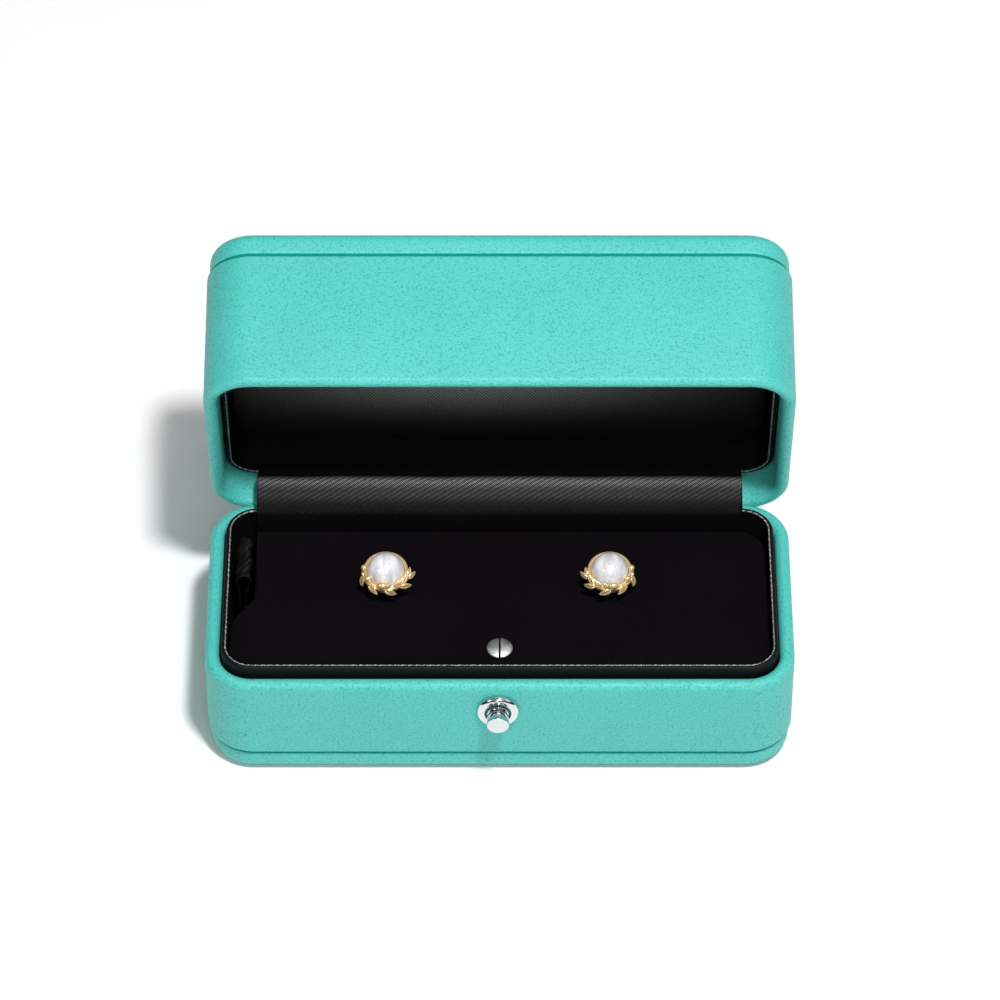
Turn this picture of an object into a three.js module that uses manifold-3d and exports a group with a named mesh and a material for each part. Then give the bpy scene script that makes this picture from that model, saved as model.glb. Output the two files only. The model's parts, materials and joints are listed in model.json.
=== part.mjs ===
// A pair of pearl stud earrings with gold leaf-wreath settings, standing in an open hinged jewellery box.
// Millimetres, +X right, +Y back, +Z up. The origin is the middle of the box's bottom face.
import * as THREE from 'three';
import { mergeVertices } from 'three/addons/utils/BufferGeometryUtils.js';
import Module from 'manifold-3d';

const wasm = await Module();
wasm.setup();

// The box outside
const LENGTH = 110;
const DEPTH = 47.2;
const CORNER_R = 8.9;
const BASE_H = 24.3;
const LID_H = 33.9;
const BASE_WALL = 2.8;
const LID_WALL = 2.5;
const BASE_PLATE_T = 5.2;
const LID_PLATE_T = 5.55;
const PLATE_INSET = 0.47;
const PLATE_EDGE_R = 2.95;
const GROOVE = 0.5;
const GROOVE_EDGE_R = 0.4;

// The hinge axis lies inside the base's rear rim; the lid stands open by this angle
const HINGE_IN = 1.84;
const HINGE_DOWN = 1.7;
const OPEN_ANGLE = THREE.MathUtils.degToRad(76.6);
const RIM_GAP = 0.35;

// The clearance between neighbouring pieces
const CLEAR = 0.3;

// The base's raised collar and the pad
const COLLAR_T = 1.0;
const COLLAR_PROUD = 1.75;
const PAD_BELOW_RIM = 1.7;
const PAD_CORNER_R = 5.5;
const PAD_EDGE_R = 0.5;
const NOTCH_W = 4.3;
const NOTCH_L = 16;
const NOTCH_RUNOUT = 8.5;

// The lid's liner and its satin panel
const LINER_T = 1.1;
const LINER_DEPTH = 6.5;
const LINING_DEPTH = 13;
const LINING_T = 2.5;
const LINING_EDGE_R = 0.9;

// The cloth over the hinge and the pull ribbon
const CLOTH_T = 1.0;
const CLOTH_W = 92.5;
const CLOTH_TUCK = 3;
const CLOTH_ABOVE_LID_RIM = 4;
const CLOTH_ROLL = 1.6;
const CLOTH_BEND = 0.4;
const CLOTH_ARC_STEPS = 5;
const RIBBON_T = 1.0;
const RIBBON_W = 10.2;
const RIBBON_FROM_REAR = 1.9;
const RIBBON_LOOP_W = 3.3;
const RIBBON_H = 12;
const RIBBON_RISE = 0.4;

// The latch
const LATCH_X = -0.33;
const LATCH_Z = 17.9;
const ESCUTCHEON_R = 3.97;
const ESCUTCHEON_T = 0.8;
const BUTTON_R = 2.05;
const BUTTON_CLEAR = 0.4;
const BUTTON_PROUD = 3.95;
const BUTTON_INSIDE = 1.5;
const BUTTON_RIDGE = 0.22;
const BUTTON_EDGE = 0.11;
const SLEEVE_T = 0.5;
const CATCH_R = 2.45;
const CATCH_DOME = 0.75;
const CATCH_RIM = 0.35;
const CATCH_SLOT = 0.35;
const CATCH_SLOT_L = 3.8;
const CATCH_FROM_FRONT = 10.6;

// The earrings
const PEARL_D = 7.1;
const PEARL_CLEAR = 0.15;
const CUP_T = 0.53;
const CUP_RISE_DEG = 11;
const CUP_FOOT_CUT = 0.1;
const POST_D = 0.9;
const POST_L = 9.5;
const HOLE_CLEAR = 0.3;
const HOLE_SPARE = 0.6;
const STEM_R = 0.3;
const STEM_END_DEG = 97;
const EARRING_SPACING = 42.15;
const EARRING_SHIFT = -0.37;
const EARRING_Y = 3.1;

// How finely round stretches are cut
const CORNER_STEPS = 7;
const ROUND_STEPS = 5;
const TURN_STEPS = 24;
const CUP_STEPS = 20;
const PEARL_RINGS = 15;
const EDGE_STEPS = 2;
const LINING_EDGE_STEPS = 3;
const BUD_STEPS = [7, 5];
const STEM_STEPS = 14;
const STEM_SIDES = 6;

// Heights and places that follow from the sizes
const hingeY = DEPTH / 2 - HINGE_IN;
const hingeZ = BASE_H - HINGE_DOWN;
const padTop = BASE_H - PAD_BELOW_RIM;
const padBottom = BASE_PLATE_T + CLEAR;
const collarInset = BASE_WALL + CLEAR;
const collarInner = collarInset + COLLAR_T;
const collarTop = BASE_H + COLLAR_PROUD;
const lidRimZ = BASE_H + RIM_GAP;
const lidPlateZ = lidRimZ + LID_H - LID_PLATE_T;
const linerInset = LID_WALL + CLEAR;
const padRearY = DEPTH / 2 - collarInner - 2 * CLEAR - CLOTH_T;
const padSideX = LENGTH / 2 - collarInner - CLEAR;
const padFrontY = -(DEPTH / 2 - collarInner - CLEAR);
const pearlR = PEARL_D / 2;
const cupInnerR = pearlR + PEARL_CLEAR;
const cupOuterR = cupInnerR + CUP_T;
const cupFoot = cupOuterR - CUP_FOOT_CUT;
const pearlZ = padTop + cupFoot + CLEAR;

const TEAL = { color: 0x63cdc0, roughness: 0.55, metalness: 0 };
const BLACK_CLOTH = { color: 0x141214, roughness: 0.8, metalness: 0 };
const BLACK_LEATHER = { color: 0x1b191b, roughness: 0.55, metalness: 0 };
const SATIN = { color: 0x18161a, roughness: 0.45, metalness: 0 };
const CHROME = { color: 0xe4e4e6, roughness: 0.12, metalness: 1 };
const GOLD = { color: 0xd9aa5c, roughness: 0.2, metalness: 1 };
const PEARL = { color: 0xefecea, roughness: 0.2, metalness: 0 };

const RIGHT_ANGLE = Math.PI / 2;
const radians = THREE.MathUtils.degToRad;

// Merges shared vertices, drops empty triangles and turns the faces outwards
function closedGeometry(source) {
  const bare = source.index ? source.toNonIndexed() : source.clone();
  bare.deleteAttribute('normal');
  bare.deleteAttribute('uv');
  const merged = mergeVertices(bare, 1e-5);
  const position = merged.getAttribute('position');
  const index = Array.from(merged.index.array);
  const kept = [];
  const [a, b, c] = [new THREE.Vector3(), new THREE.Vector3(), new THREE.Vector3()];
  let volume = 0;
  for (let i = 0; i < index.length; i += 3) {
    const [p, q, r] = index.slice(i, i + 3);
    if (p === q || q === r || r === p) continue;
    kept.push([p, q, r]);
    a.fromBufferAttribute(position, p);
    b.fromBufferAttribute(position, q);
    c.fromBufferAttribute(position, r);
    volume += a.dot(b.cross(c));
  }
  const faces = volume < 0 ? kept.map(([p, q, r]) => [p, r, q]) : kept;
  const geometry = new THREE.BufferGeometry();
  geometry.setAttribute('position', position);
  geometry.setIndex(faces.flat());
  return geometry;
}

function solidOf(geometry) {
  const closed = closedGeometry(geometry);
  return new wasm.Manifold(new wasm.Mesh({
    numProp: 3,
    vertProperties: new Float32Array(closed.getAttribute('position').array),
    triVerts: new Uint32Array(closed.index.array),
  }));
}

function geometryOf(solid) {
  const { vertProperties, triVerts } = solid.getMesh();
  const geometry = new THREE.BufferGeometry();
  geometry.setAttribute('position', new THREE.BufferAttribute(new Float32Array(vertProperties), 3));
  geometry.setIndex(Array.from(triVerts));
  return geometry;
}

function piece(name, geometry, finish) {
  const material = new THREE.MeshStandardMaterial({ ...finish, flatShading: true });
  const mesh = new THREE.Mesh(closedGeometry(geometry), material);
  mesh.name = name;
  return mesh;
}

// The box's plan outline at one height: a rectangle with round corners, drawn in by inset
function planOutline(inset, z) {
  const r = Math.max(CORNER_R - inset, GROOVE_EDGE_R);
  const centreX = LENGTH / 2 - inset - r;
  const centreY = DEPTH / 2 - inset - r;
  const signs = [[1, 1], [-1, 1], [-1, -1], [1, -1]];
  return signs.flatMap(([sx, sy], corner) => Array.from({ length: CORNER_STEPS + 1 }, (_, i) => {
    const angle = (corner + i / CORNER_STEPS) * RIGHT_ANGLE;
    return new THREE.Vector3(sx * centreX + r * Math.cos(angle), sy * centreY + r * Math.sin(angle), z);
  }));
}

// Skins a row of outlines that have equally many points; the row closes on itself or is capped
function loft(outlines, closesOnItself) {
  const count = outlines[0].length;
  const positions = outlines.flat().flatMap((p) => [p.x, p.y, p.z]);
  const faces = [];
  const last = closesOnItself ? outlines.length : outlines.length - 1;
  for (let row = 0; row < last; row += 1) {
    const next = (row + 1) % outlines.length;
    for (let i = 0; i < count; i += 1) {
      const j = (i + 1) % count;
      const [a, b, c, d] = [row * count + i, row * count + j, next * count + j, next * count + i];
      faces.push(a, b, c, a, c, d);
    }
  }
  if (!closesOnItself) {
    const top = (outlines.length - 1) * count;
    for (let i = 1; i < count - 1; i += 1) faces.push(0, i + 1, i, top, top + i, top + i + 1);
  }
  const geometry = new THREE.BufferGeometry();
  geometry.setAttribute('position', new THREE.Float32BufferAttribute(positions, 3));
  geometry.setIndex(faces);
  return geometry;
}

// Points of a quarter or half round in the (inset, z) plane of a wall's section
function roundPoints(inset, z, r, fromDeg, toDeg, steps) {
  return Array.from({ length: steps + 1 }, (_, i) => {
    const angle = radians(fromDeg + (toDeg - fromDeg) * (i / steps));
    return [inset + r * Math.cos(angle), z + r * Math.sin(angle)];
  });
}

// A wall that runs round the box: a full round rim at rimZ, and a small round at its outer foot
function wallRing(inset, thickness, footZ, rimZ, footR) {
  const up = Math.sign(rimZ - footZ);
  const rim = roundPoints(inset + thickness / 2, 0, thickness / 2, 180, 0, 2 * ROUND_STEPS)
    .map(([d, h]) => [d, rimZ + up * (h - thickness / 2)]);
  const foot = footR > 0
    ? roundPoints(inset + footR, 0, footR, 270, 180, EDGE_STEPS)
      .map(([d, h]) => [d, footZ + up * (footR + h)])
    : [[inset, footZ]];
  const section = [...foot, ...rim, [inset + thickness, footZ]];
  return loft(section.map(([d, z]) => planOutline(d, z)), true);
}

// A plate whose outer face has a large round edge and whose inner face a small one
function platePiece(name, innerZ, outerZ) {
  const up = Math.sign(outerZ - innerZ);
  const inner = roundPoints(PLATE_INSET + GROOVE_EDGE_R, 0, GROOVE_EDGE_R, 270, 180, EDGE_STEPS)
    .map(([d, h]) => [d, innerZ + up * (GROOVE_EDGE_R + h)]);
  const outer = roundPoints(PLATE_INSET + PLATE_EDGE_R, 0, PLATE_EDGE_R, 180, 90, ROUND_STEPS)
    .map(([d, h]) => [d, outerZ + up * (h - PLATE_EDGE_R)]);
  return piece(name, loft([...inner, ...outer].map(([d, z]) => planOutline(d, z)), false), TEAL);
}

// A lathe body about +Y: its profile holds [radius, distance forward] pairs
function turnedForward(profile) {
  const points = profile.map(([r, forward]) => new THREE.Vector2(r, -forward));
  return new THREE.LatheGeometry(points, TURN_STEPS);
}

// A lathe body about +Z: its profile holds [radius, height] pairs
function turnedUp(profile, steps = TURN_STEPS) {
  const geometry = new THREE.LatheGeometry(profile.map(([r, z]) => new THREE.Vector2(r, z)), steps);
  return geometry.rotateX(RIGHT_ANGLE);
}

// A strip of cloth of one thickness whose section follows a curve, from side to side of the box
function clothStrip(path, thickness, width) {
  const normals = path.map((_, i) => {
    const before = path[Math.max(i - 1, 0)];
    const after = path[Math.min(i + 1, path.length - 1)];
    const along = after.clone().sub(before).normalize();
    return new THREE.Vector2(-along.y, along.x);
  });
  const side = (s) => path.map((p, i) => p.clone().addScaledVector(normals[i], (s * thickness) / 2));
  const shape = new THREE.Shape([...side(1), ...side(-1).reverse()]);
  return new THREE.ExtrudeGeometry(shape, { depth: width, bevelEnabled: false });
}

// Lays an extrusion's own x, y and depth along the three given axes
function laidAlong(geometry, x, y, depth) {
  return geometry.applyMatrix4(new THREE.Matrix4().makeBasis(x, y, depth));
}

const X = new THREE.Vector3(1, 0, 0);
const Y = new THREE.Vector3(0, 1, 0);
const Z = new THREE.Vector3(0, 0, 1);

// The base: wall, bottom plate and the raised collar
function basePieces() {
  const holeR = BUTTON_R + BUTTON_CLEAR + SLEEVE_T + CLEAR;
  const hole = new THREE.CylinderGeometry(holeR, holeR, 4 * BASE_WALL, TURN_STEPS);
  hole.translate(LATCH_X, -DEPTH / 2, LATCH_Z);
  const wall = solidOf(wallRing(0, BASE_WALL, BASE_PLATE_T + GROOVE, BASE_H, GROOVE_EDGE_R));
  return [
    piece('base_wall', geometryOf(wall.subtract(solidOf(hole))), TEAL),
    platePiece('base_plate', BASE_PLATE_T, 0),
    piece('base_collar', wallRing(collarInset, COLLAR_T, BASE_PLATE_T + CLEAR, collarTop, 0), BLACK_LEATHER),
  ];
}

function earringPlaces() {
  return [-1, 1].map((side) => ({ side, x: EARRING_SHIFT + (side * EARRING_SPACING) / 2 }));
}

// The pad: a foam block with round corners, a notch at its rear left and a hole for each post
function padPiece() {
  const r = PAD_CORNER_R;
  const notchX = -padSideX + NOTCH_W;
  const notchFrontY = padRearY - NOTCH_L;
  const shape = new THREE.Shape();
  shape.moveTo(notchX, padRearY);
  shape.lineTo(notchX, notchFrontY);
  shape.bezierCurveTo(
    notchX, notchFrontY - NOTCH_RUNOUT / 2,
    -padSideX, notchFrontY - NOTCH_RUNOUT / 2,
    -padSideX, notchFrontY - NOTCH_RUNOUT,
  );
  shape.lineTo(-padSideX, padFrontY + r);
  shape.absarc(-padSideX + r, padFrontY + r, r, Math.PI, 1.5 * Math.PI);
  shape.absarc(padSideX - r, padFrontY + r, r, 1.5 * Math.PI, 2 * Math.PI);
  shape.absarc(padSideX - r, padRearY - r, r, 0, RIGHT_ANGLE);
  shape.closePath();
  const block = new THREE.ExtrudeGeometry(shape, {
    depth: padTop - padBottom - 2 * PAD_EDGE_R,
    bevelThickness: PAD_EDGE_R,
    bevelSize: PAD_EDGE_R,
    bevelOffset: -PAD_EDGE_R,
    bevelSegments: EDGE_STEPS,
    curveSegments: CORNER_STEPS,
  });
  block.translate(0, 0, padBottom + PAD_EDGE_R);
  const holeR = POST_D / 2 + HOLE_CLEAR;
  const holeBottom = pearlZ - cupFoot - POST_L - HOLE_SPARE;
  const holeL = padTop - holeBottom + CLEAR;
  const holes = earringPlaces().map(({ x }) => {
    const hole = new THREE.CylinderGeometry(holeR, holeR, holeL, TURN_STEPS / 2);
    return solidOf(hole.rotateX(RIGHT_ANGLE).translate(x, EARRING_Y, holeBottom + holeL / 2));
  });
  const pad = holes.reduce((left, hole) => left.subtract(hole), solidOf(block));
  return piece('base_pad', geometryOf(pad), BLACK_CLOTH);
}

// The satin loop that lifts the pad: an upright folded ribbon in the notch
function ribbonPiece() {
  const outer = RIBBON_LOOP_W / 2;
  const inner = outer - RIBBON_T;
  const archZ = padTop + RIBBON_RISE - outer;
  const footZ = archZ - RIBBON_H;
  const shape = new THREE.Shape();
  shape.moveTo(outer, footZ);
  shape.absarc(0, archZ, outer, 0, Math.PI);
  shape.lineTo(-outer, footZ);
  shape.lineTo(-inner, footZ);
  shape.absarc(0, archZ, inner, Math.PI, 0, true);
  shape.lineTo(inner, footZ);
  shape.closePath();
  const ribbon = new THREE.ExtrudeGeometry(shape, { depth: RIBBON_W, bevelEnabled: false, curveSegments: 8 });
  laidAlong(ribbon, X, Z, Y.clone().negate());
  ribbon.translate(-padSideX + NOTCH_W / 2 - CLEAR / 2, padRearY - RIBBON_FROM_REAR, 0);
  return piece('pull_ribbon', ribbon, SATIN);
}

// The chrome surround and its sleeve, which stand in the base wall's hole
function escutcheonPiece() {
  const bore = BUTTON_R + BUTTON_CLEAR;
  const face = CLEAR + ESCUTCHEON_T;
  const edge = ESCUTCHEON_T / 3;
  const profile = [
    [bore, -BASE_WALL + CLEAR],
    [bore + SLEEVE_T, -BASE_WALL + CLEAR],
    [bore + SLEEVE_T, CLEAR],
    [ESCUTCHEON_R, CLEAR],
    [ESCUTCHEON_R, face - edge],
    [ESCUTCHEON_R - edge, face],
    [bore + edge, face],
    [bore, face - edge],
    [bore, -BASE_WALL + CLEAR],
  ];
  const geometry = turnedForward(profile).translate(LATCH_X, -DEPTH / 2, LATCH_Z);
  return piece('latch_escutcheon', geometry, CHROME);
}

const BUTTON_RIDGES = [
  // [place along the proud length as a share of it, share of the ridge's height]
  [0.17, 0],
  [0.22, 1],
  [0.3, 1],
  [0.35, 0],
  [0.42, 0],
  [0.47, 1],
];

// The push button: a polished pin with a ring and a shoulder behind its flat end
function buttonPiece() {
  const neck = BUTTON_R - BUTTON_RIDGE;
  const profile = [
    [0, -BUTTON_INSIDE],
    [neck, -BUTTON_INSIDE],
    ...BUTTON_RIDGES.map(([place, height]) => [neck + height * BUTTON_RIDGE, place * BUTTON_PROUD]),
    [BUTTON_R, BUTTON_PROUD - BUTTON_EDGE],
    [BUTTON_R - BUTTON_EDGE, BUTTON_PROUD],
    [0, BUTTON_PROUD],
  ];
  const geometry = turnedForward(profile).translate(LATCH_X, -DEPTH / 2, LATCH_Z);
  return piece('latch_button', geometry, CHROME);
}

// The domed chrome catch on the pad, with a narrow slot from front to back
function catchPiece() {
  const dome = Array.from({ length: ROUND_STEPS + 1 }, (_, i) => {
    const angle = RIGHT_ANGLE * (i / ROUND_STEPS);
    return [CATCH_R * Math.cos(angle), CATCH_RIM + CATCH_DOME * Math.sin(angle)];
  });
  dome[ROUND_STEPS][0] = 0;
  const body = turnedUp([[0, 0], [CATCH_R - CATCH_RIM / 2, 0], ...dome]);
  const slot = new THREE.BoxGeometry(CATCH_SLOT, CATCH_SLOT_L, CATCH_DOME);
  slot.translate(0, 0, CATCH_RIM + CATCH_DOME);
  const geometry = geometryOf(solidOf(body).subtract(solidOf(slot)));
  geometry.translate(0, -DEPTH / 2 + CATCH_FROM_FRONT, padTop + CLEAR);
  return piece('latch_catch', geometry, CHROME);
}

// The stem of one wreath lies this far from the pearl's surface and from its middle height. These and
// the tables below are shares of the pearl's radius; turn is degrees from the front to the outer side
const STEM_OUT_SHARE = 0.2;
const STEM_RISE_SHARE = -0.14;

const LEAVES = [
  // [turn at the stem, turn at the tip, tip out, tip rise, width]
  [-82, -60, 0.42, -0.44, 0.62],
  [-50, -17, 0.35, -0.44, 0.4],
  [-40, -20, 0.26, -0.12, 0.26],
  [-5, 26, 0.4, -0.44, 0.42],
  [2, 16, 0.13, 0.28, 0.26],
  [20, 42, 0.13, 0.29, 0.28],
  [35, 58, 0.13, 0.29, 0.28],
  [36, 66, 0.53, -0.36, 0.37],
  [55, 80, 0.14, 0.26, 0.28],
  [70, 97, 0.28, 0.18, 0.28],
  [70, 95, 0.57, -0.14, 0.35],
];

const BUDS = [
  // [turn, out, rise, radius, length along the stem]
  [-98, 0.16, 0.08, 0.17, 0.18],
  [-82, 0.21, -0.05, 0.1, 0.13],
  [-55, 0.14, 0.12, 0.17, 0.18],
  [-8, 0.17, 0.12, 0.21, 0.3],
];

const LEAF_STATIONS = [0.12, 0.32, 0.55, 0.78];
const LEAF_THICK_SHARE = 0.16;
const LEAF_BOW_FACTOR = 1.04;
const LEAF_LOOKS = new THREE.Vector3(0, -0.6, 0.35);
const LEAF_BELLY_POWER = 0.8;
const LEAF_SWELL = [0.25, 0.6];

const LEAF_SECTION = [
  // [place across as a share of the half width, height as a share of the thickness there]
  [-1, 0],
  [-0.45, 0.5],
  [0, 0.22],
  [0.45, 0.5],
  [1, 0],
  [0, -0.5],
];

// A point beside the pearl, from turn in degrees and out and rise as shares of its radius
function besidePearl(turnDeg, out, rise) {
  const turn = radians(turnDeg);
  const r = pearlR * (1 + out);
  return new THREE.Vector3(r * Math.sin(turn), -r * Math.cos(turn), pearlR * rise);
}

// A pointed leaf: half width falls as a sine to both ends, with a raised middle and a creased rib
function leafGeometry([stemTurn, tipTurn, tipOut, tipRise, width]) {
  const base = besidePearl(stemTurn, STEM_OUT_SHARE, STEM_RISE_SHARE);
  const tip = besidePearl(tipTurn, tipOut, tipRise);
  const middle = besidePearl(
    (stemTurn + tipTurn) / 2,
    (STEM_OUT_SHARE + tipOut) / 2,
    (STEM_RISE_SHARE + tipRise) / 2,
  );
  const spine = new THREE.QuadraticBezierCurve3(base, middle.multiplyScalar(LEAF_BOW_FACTOR), tip);
  const thick = LEAF_THICK_SHARE * pearlR;
  const outlines = LEAF_STATIONS.map((t) => {
    const at = spine.getPoint(t);
    const along = spine.getTangent(t);
    const out = at.clone().addScaledVector(LEAF_LOOKS, pearlR).normalize();
    const across = new THREE.Vector3().crossVectors(along, out).normalize();
    const face = new THREE.Vector3().crossVectors(across, along).normalize();
    const half = (width * pearlR * Math.sin(Math.PI * t ** LEAF_BELLY_POWER)) / 2;
    const lift = thick * Math.sin(Math.PI * (LEAF_SWELL[0] + LEAF_SWELL[1] * t));
    return LEAF_SECTION.map(([s, h]) => (
      at.clone().addScaledVector(across, s * half).addScaledVector(face, h * lift)
    ));
  });
  const count = outlines[0].length;
  const start = Array.from({ length: count }, () => spine.getPoint(0));
  const end = Array.from({ length: count }, () => spine.getPoint(1));
  return loft([start, ...outlines, end], false);
}

function budGeometry([turn, out, rise, radius, length]) {
  const bud = new THREE.SphereGeometry(pearlR, ...BUD_STEPS);
  bud.scale(length, radius, radius);
  bud.rotateZ(radians(turn));
  const at = besidePearl(turn, out, rise);
  return bud.translate(at.x, at.y, at.z);
}

// The stem: a half ring of round wire under the bezel, in front of the pearl
function stemGeometry() {
  const outlines = Array.from({ length: STEM_STEPS + 1 }, (_, i) => {
    const turnDeg = STEM_END_DEG * ((2 * i) / STEM_STEPS - 1);
    const middle = besidePearl(turnDeg, STEM_OUT_SHARE, STEM_RISE_SHARE);
    const out = besidePearl(turnDeg, 0, 0).normalize();
    return Array.from({ length: STEM_SIDES }, (__, j) => {
      const angle = (2 * Math.PI * j) / STEM_SIDES;
      const sideways = middle.clone().addScaledVector(out, STEM_R * Math.cos(angle));
      return sideways.addScaledVector(Z, STEM_R * Math.sin(angle));
    });
  });
  return loft(outlines, false);
}

// The cup that holds the pearl: a bowl with a flat foot, open a little above the pearl's middle
function cupGeometry() {
  const rise = radians(CUP_RISE_DEG);
  const foot = Math.asin(cupFoot / cupOuterR);
  const steps = ROUND_STEPS + 1;
  const outer = Array.from({ length: steps + 1 }, (_, i) => {
    const angle = -foot + (foot + rise) * (i / steps);
    return [cupOuterR * Math.cos(angle), cupOuterR * Math.sin(angle)];
  });
  const inner = Array.from({ length: steps + 1 }, (_, i) => {
    const angle = rise - (RIGHT_ANGLE + rise) * (i / steps);
    return [cupInnerR * Math.cos(angle), cupInnerR * Math.sin(angle)];
  });
  inner[steps][0] = 0;
  return turnedUp([[0, -cupFoot], ...outer, ...inner], CUP_STEPS);
}

// One soldered setting: cup, stem, leaves, buds and post. The right one mirrors the left
function settingPiece(name, mirrored) {
  const post = new THREE.CylinderGeometry(POST_D / 2, POST_D / 2, POST_L + CUP_T, TURN_STEPS / 2);
  post.rotateX(RIGHT_ANGLE).translate(0, 0, -cupFoot - POST_L / 2 + CUP_T / 4);
  const clearance = solidOf(new THREE.SphereGeometry(cupInnerR, TURN_STEPS, TURN_STEPS / 2));
  const wreath = [stemGeometry(), ...LEAVES.map(leafGeometry), ...BUDS.map(budGeometry)].map(solidOf);
  const clearWreath = wreath.reduce((left, next) => left.add(next)).subtract(clearance);
  const setting = clearWreath.add(solidOf(cupGeometry())).add(solidOf(post));
  const geometry = geometryOf(setting);
  if (mirrored) geometry.scale(-1, 1, 1);
  return piece(name, geometry, GOLD);
}

function pearlPiece(name) {
  const ball = new THREE.SphereGeometry(pearlR, TURN_STEPS, PEARL_RINGS);
  return piece(name, ball.rotateX(RIGHT_ANGLE), PEARL);
}

function earringGroup({ side, x }) {
  const word = side < 0 ? 'left' : 'right';
  const group = new THREE.Group();
  group.position.set(x, EARRING_Y, pearlZ);
  group.add(settingPiece(`${word}_setting`, side > 0), pearlPiece(`${word}_pearl`));
  return group;
}

// The lid is drawn closed, then turned back about the hinge axis
function lidGroup() {
  const closed = new THREE.Group();
  closed.position.set(0, -hingeY, -hingeZ);
  const liner = wallRing(linerInset, LINER_T, lidPlateZ - CLEAR, lidRimZ + LINER_DEPTH, 0);
  closed.add(
    piece('lid_wall', wallRing(0, LID_WALL, lidPlateZ - GROOVE, lidRimZ, GROOVE_EDGE_R), TEAL),
    platePiece('lid_plate', lidPlateZ, lidRimZ + LID_H),
    piece('lid_liner', liner, BLACK_LEATHER),
    liningPiece(),
  );
  const turned = new THREE.Group();
  turned.position.set(0, hingeY, hingeZ);
  turned.rotation.x = -OPEN_ANGLE;
  turned.add(closed);
  return turned;
}

// The satin-covered panel inside the lid: a board with soft round edges
function liningPiece() {
  const inset = linerInset + LINER_T + CLEAR;
  const nearZ = lidRimZ + LINING_DEPTH;
  const near = roundPoints(inset + LINING_EDGE_R, 0, LINING_EDGE_R, 270, 180, LINING_EDGE_STEPS)
    .map(([d, h]) => [d, nearZ + LINING_EDGE_R + h]);
  const section = [...near, [inset, nearZ + LINING_T]];
  return piece('lid_lining', loft(section.map(([d, z]) => planOutline(d, z)), false), SATIN);
}

// A point of the closed lid's section, [y, z], moved to where the open lid has it
function opened(y, z) {
  const [c, s] = [Math.cos(OPEN_ANGLE), Math.sin(OPEN_ANGLE)];
  const [dy, dz] = [y - hingeY, z - hingeZ];
  return new THREE.Vector2(hingeY + dy * c + dz * s, hingeZ - dy * s + dz * c);
}

// The cloth over the hinge: tucked behind the pad, over the collar, in a loose roll round the hinge and up
// the lid's back
function hingeClothPiece() {
  const collarInnerY = DEPTH / 2 - collarInner;
  const half = CLOTH_T / 2;
  const tuckY = collarInnerY - CLEAR - half;
  const overCollar = new THREE.Vector2(collarInnerY + COLLAR_T / 2, collarTop + CLEAR + half);
  const lidY = DEPTH / 2 - LID_WALL - CLEAR - half;
  const lidStart = opened(lidY, lidRimZ + CLOTH_ABOVE_LID_RIM);
  const lidEnd = opened(lidY, lidRimZ + LINER_DEPTH - CLEAR);
  const axis = new THREE.Vector2(hingeY, hingeZ);
  const from = overCollar.clone().sub(axis);
  const to = lidStart.clone().sub(axis);
  const arc = Array.from({ length: CLOTH_ARC_STEPS - 1 }, (_, i) => {
    const t = (i + 1) / CLOTH_ARC_STEPS;
    const angle = THREE.MathUtils.lerp(from.angle(), to.angle(), t);
    const r = THREE.MathUtils.lerp(from.length(), to.length(), t) + CLOTH_ROLL * Math.sin(Math.PI * t);
    return new THREE.Vector2(hingeY + r * Math.cos(angle), hingeZ + r * Math.sin(angle));
  });
  const path = [
    new THREE.Vector2(tuckY, padTop - CLOTH_TUCK),
    new THREE.Vector2(tuckY, collarTop - half),
    new THREE.Vector2(tuckY + CLOTH_BEND, collarTop + CLOTH_BEND),
    overCollar,
    ...arc,
    lidStart,
    lidStart.clone().lerp(lidEnd, 0.5),
    lidEnd,
  ];
  const strip = laidAlong(clothStrip(path, CLOTH_T, CLOTH_W), Y, Z, X);
  return piece('hinge_cloth', strip.translate(-CLOTH_W / 2, 0, 0), SATIN);
}

const earringsInBox = new THREE.Group();
earringsInBox.add(
  ...basePieces(),
  padPiece(),
  ribbonPiece(),
  escutcheonPiece(),
  buttonPiece(),
  catchPiece(),
  ...earringPlaces().map(earringGroup),
  lidGroup(),
  hingeClothPiece(),
);

export default earringsInBox;
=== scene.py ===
import json
import math

import bmesh
import bpy
import numpy as np
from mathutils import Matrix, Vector


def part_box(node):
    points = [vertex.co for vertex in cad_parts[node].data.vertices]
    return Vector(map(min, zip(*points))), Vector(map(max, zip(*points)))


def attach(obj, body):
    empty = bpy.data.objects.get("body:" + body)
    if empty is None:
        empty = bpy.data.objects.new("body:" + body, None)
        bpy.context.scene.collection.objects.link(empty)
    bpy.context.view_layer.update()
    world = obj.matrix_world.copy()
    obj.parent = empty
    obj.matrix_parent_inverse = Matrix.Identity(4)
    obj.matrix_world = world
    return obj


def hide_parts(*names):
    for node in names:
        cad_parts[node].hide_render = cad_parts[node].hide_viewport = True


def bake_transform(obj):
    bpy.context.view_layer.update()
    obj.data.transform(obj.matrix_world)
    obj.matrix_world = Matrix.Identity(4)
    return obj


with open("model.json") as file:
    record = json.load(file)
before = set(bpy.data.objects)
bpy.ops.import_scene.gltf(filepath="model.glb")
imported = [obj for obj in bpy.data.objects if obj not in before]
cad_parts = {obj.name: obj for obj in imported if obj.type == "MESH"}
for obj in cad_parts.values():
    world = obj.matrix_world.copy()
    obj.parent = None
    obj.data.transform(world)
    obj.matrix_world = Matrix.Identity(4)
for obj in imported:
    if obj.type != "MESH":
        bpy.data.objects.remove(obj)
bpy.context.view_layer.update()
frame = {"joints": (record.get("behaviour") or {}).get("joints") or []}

MM = 0.001
scene = bpy.context.scene
scene.view_settings.view_transform = "Standard"

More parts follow.
